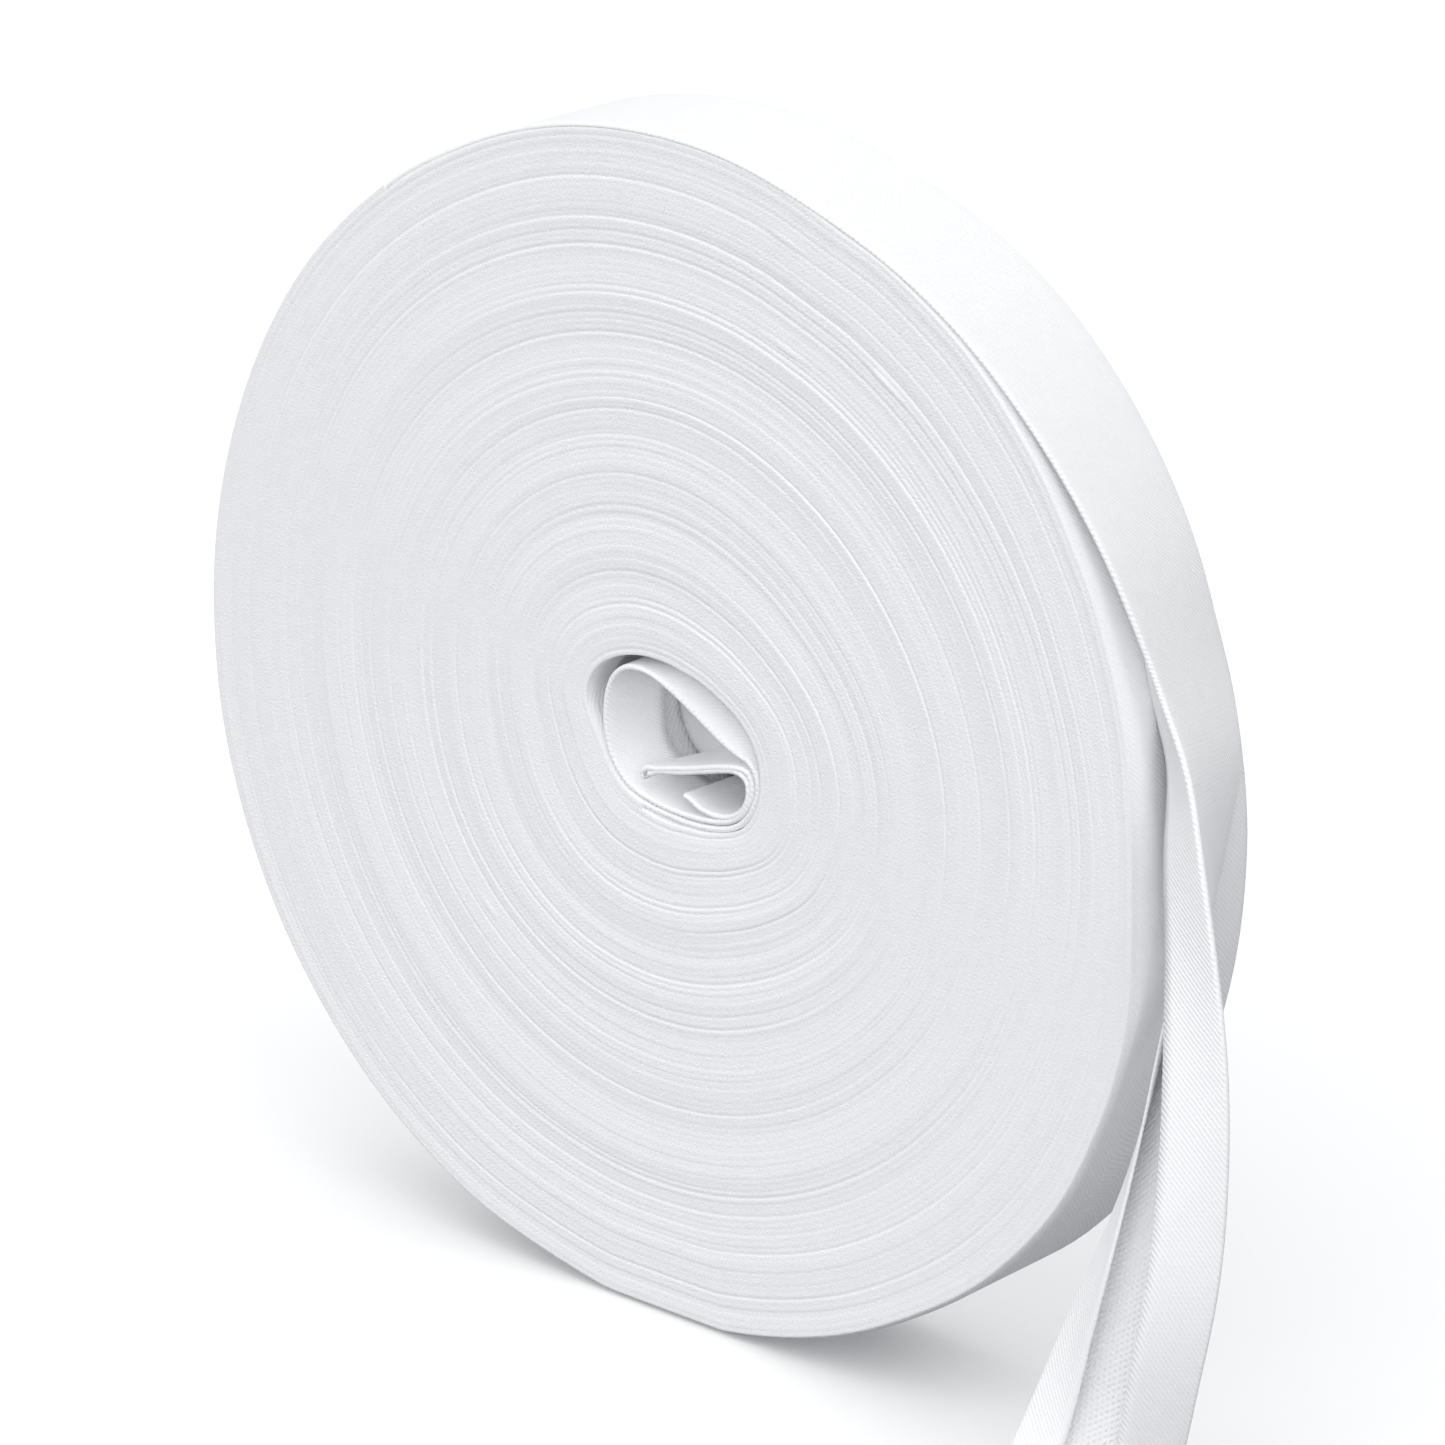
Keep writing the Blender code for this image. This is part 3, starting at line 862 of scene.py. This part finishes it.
def make_inner_end():
    """The inner end: folded back on itself in the hole, then round on the hole's edge.

    Its route is a short cup, a doubled tongue across the hole, then the bottom, the left wall and
    the right wall into the winding. tip is how far its width tips up towards the back, open how
    far the near flap stands off and draw how far the near edge is drawn in from the wall.
    """
    route = [(x, 0.0, z, tip, opening, draw) for x, z, tip, opening, draw in INNER_ROUTE]
    rows = spline(route, INNER_SECTIONS)
    tips = np.radians(rows[:, 3])
    near = np.maximum(rows[:, 4], 0.0)
    draws = np.maximum(rows[:, 5], 0.0) * MM
    middles = rows[:, :3] * MM + np.array([0.0, INNER_SETBACK, AXIS_HEIGHT])
    middles[:, 1] -= shortening(draws) / 2
    tangents = unit(np.gradient(middles, axis=0))
    middles[:, 2] += HALF_WIDTH * np.sin(tips)
    widths = square_to(tangents, np.stack([np.zeros(len(tips)), np.cos(tips), np.sin(tips)], axis=1))
    far = np.full(len(middles), INNER_FAR_OPENING)
    thing, wrong = make_tape("inner_end_cloth", middles, tangents, widths, near, far, draws)
    return thing, wrong, distances(middles)[-1]


def plain_material(name, colour, roughness):
    """A matt surface without a weave."""
    material = bpy.data.materials.new(name)
    material.use_nodes = True
    shader = material.node_tree.nodes["Principled BSDF"]
    shader.inputs["Base Color"].default_value = (*colour, 1.0)
    shader.inputs["Roughness"].default_value = roughness
    return material


def twill_cloth(name, colour, roughness, pitch, relief, lean, bead, grain):
    """Fine woven cloth whose diagonal ribs and yarns are worked out from the weave's own mm.

    relief is the bump's height and lean the ribs' angle to the tape. bead says how far the yarns
    break up the ribs, and grain how much loose fibre is in the bump.
    """
    material = plain_material(name, colour, roughness)
    nodes = material.node_tree.nodes
    links = material.node_tree.links
    shader = nodes["Principled BSDF"]
    shader.inputs["Sheen Weight"].default_value = SHEEN
    shader.inputs["Sheen Roughness"].default_value = SHEEN_ROUGHNESS
    weave = nodes.new("ShaderNodeUVMap")
    weave.uv_map = "weave"

    def math_node(operation, *operands):
        """A sum worked out from numbers and other nodes' outputs."""
        node = nodes.new("ShaderNodeMath")
        node.operation = operation
        for socket, value in zip(node.inputs, operands):
            if isinstance(value, (int, float)):
                socket.default_value = value
            else:
                links.new(value, socket)
        return node.outputs[0]

    def noise(scale, detail):
        """Noise over the weave's mm."""
        node = nodes.new("ShaderNodeTexNoise")
        node.inputs["Scale"].default_value = scale
        node.inputs["Detail"].default_value = detail
        links.new(weave.outputs["UV"], node.inputs["Vector"])
        return node.outputs["Fac"]

    split = nodes.new("ShaderNodeSeparateXYZ")
    links.new(weave.outputs["UV"], split.inputs[0])
    across = split.outputs[0]
    along = split.outputs[1]
    rib_across = math.cos(math.radians(lean)) * math.tau / pitch
    rib_along = math.sin(math.radians(lean)) * math.tau / pitch
    over_rib = math_node("ADD", math_node("MULTIPLY", across, rib_across),
                         math_node("MULTIPLY", along, rib_along))
    over_rib = math_node("ADD", over_rib, math_node("MULTIPLY", noise(*STRAY_NOISE), STRAY_AMOUNT))
    rib = math_node("SINE", over_rib)
    along_rib = math_node("ADD", math_node("MULTIPLY", across, -rib_along * YARNS_PER_RIB),
                          math_node("MULTIPLY", along, rib_across * YARNS_PER_RIB))
    along_rib = math_node("ADD", along_rib, math_node("MULTIPLY", over_rib, YARN_LEAN))
    beads = math_node("MULTIPLY", math_node("SINE", along_rib), bead)
    height = math_node("MULTIPLY", rib, math_node("ADD", beads, 1.0))
    height = math_node("ADD", height, math_node("MULTIPLY", noise(*FIBRE_NOISE), grain))
    bump = nodes.new("ShaderNodeBump")
    bump.inputs["Strength"].default_value = 1.0
    bump.inputs["Distance"].default_value = relief
    links.new(height, bump.inputs["Height"])
    links.new(bump.outputs["Normal"], shader.inputs["Normal"])
    shade = nodes.new("ShaderNodeMix")
    shade.data_type = "RGBA"
    links.new(noise(*BLOTCH_NOISE), shade.inputs["Factor"])
    shade.inputs["A"].default_value = (*(value * DARK_BLOTCH for value in colour), 1.0)
    shade.inputs["B"].default_value = (*(min(value * LIGHT_BLOTCH, 1.0) for value in colour), 1.0)
    links.new(shade.outputs["Result"], shader.inputs["Base Color"])
    return material


def place_camera():
    """The photograph's view: its direction, distance and framing, in roll radii."""
    azimuth = math.radians(41.48)
    elevation = math.radians(19.447)
    distance = 9.8986
    shift_right = -0.0303
    shift_up = -0.0011
    focal_pixels = 6154.04
    frame_pixels = 1445.0
    back = Vector((math.sin(azimuth) * math.cos(elevation),
                   -math.cos(azimuth) * math.cos(elevation),
                   math.sin(elevation)))
    right = Vector((math.cos(azimuth), math.sin(azimuth), 0.0))
    up = back.cross(right)
    data = bpy.data.cameras.new("camera")
    data.sensor_width = 36.0
    data.lens = data.sensor_width * focal_pixels / frame_pixels
    data.clip_start = 0.01
    data.clip_end = 50.0
    camera = bpy.data.objects.new("camera", data)
    centre = Vector((0.0, 0.0, AXIS_HEIGHT))
    place = centre + ROLL_RADIUS * (back * distance - right * shift_right - up * shift_up)
    turn = Matrix((right, up, back)).transposed().to_4x4()
    camera.matrix_world = Matrix.Translation(place) @ turn
    bpy.context.scene.collection.objects.link(camera)
    bpy.context.scene.camera = camera


def place_lights():
    """A bright even studio: soft lights from all round and a pale surround."""
    world = bpy.data.worlds.new("studio")
    bpy.context.scene.world = world
    world.use_nodes = True
    nodes = world.node_tree.nodes
    links = world.node_tree.links
    place = nodes.new("ShaderNodeTexCoord")
    split = nodes.new("ShaderNodeSeparateXYZ")
    links.new(place.outputs["Generated"], split.inputs[0])
    height = nodes.new("ShaderNodeMapRange")
    height.interpolation_type = "SMOOTHSTEP"
    height.inputs["From Min"].default_value = -HORIZON_BLUR
    height.inputs["From Max"].default_value = HORIZON_BLUR
    links.new(split.outputs["Z"], height.inputs["Value"])
    blend = nodes.new("ShaderNodeMix")
    blend.data_type = "RGBA"
    links.new(height.outputs["Result"], blend.inputs["Factor"])
    blend.inputs["A"].default_value = SURROUND_BELOW
    blend.inputs["B"].default_value = SURROUND_ABOVE
    links.new(blend.outputs["Result"], nodes["Background"].inputs["Color"])
    for name, direction, light_on_cloth, softness in STUDIO_LIGHTS:
        data = bpy.data.lights.new(name, "SUN")
        data.energy = light_on_cloth * math.pi
        data.angle = math.radians(softness)
        light = bpy.data.objects.new(name, data)
        light.rotation_mode = "QUATERNION"
        light.rotation_quaternion = Vector(direction).to_track_quat("Z", "Y")
        bpy.context.scene.collection.objects.link(light)


def make_floor():
    """A plain white floor."""
    corners = [
        (-FLOOR_HALF, -FLOOR_HALF, 0.0),
        (FLOOR_HALF, -FLOOR_HALF, 0.0),
        (FLOOR_HALF, FLOOR_HALF, 0.0),
        (-FLOOR_HALF, FLOOR_HALF, 0.0),
    ]
    floor = make_mesh("floor", corners, [(0, 1, 2, 3)])
    floor.data.materials.append(plain_material("floor_white", FLOOR_COLOUR, FLOOR_ROUGHNESS))
    floor.location.z = -FLOOR_DROP
    floor.visible_diffuse = False


def dress(thing, first_cloth, second_cloth, second_faces):
    """Give a piece its two cloths; second_faces says which of its faces take the second."""
    thing.data.materials.append(first_cloth)
    thing.data.materials.append(second_cloth)
    thing.data.polygons.foreach_set("material_index", second_faces.astype(np.int32))


def main():
    """Build and dress every piece."""
    bpy.context.scene.view_settings.view_transform = "Standard"
    right_cloth, wrong_cloth, fold_cloth = (twill_cloth(name, *row) for name, row in CLOTHS.items())
    for turns, on_face in (
        make_turns("inner_turns", 0, INNER_STEPS),
        make_turns("outer_turns", INNER_STEPS, OUTER_STEPS),
    ):
        dress(turns, right_cloth, fold_cloth, on_face)
        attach(turns, "root")
        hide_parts("wound_roll")
    for maker, node, held in (
        (make_loose_end, "loose_end", "hung"),
        (make_inner_end, "inner_end", "folded"),
    ):
        thing, wrong, length = maker()
        dress(thing, right_cloth, wrong_cloth, wrong)
        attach(thing, "root")
        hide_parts(node)
    make_floor()
    place_lights()
    place_camera()


main()
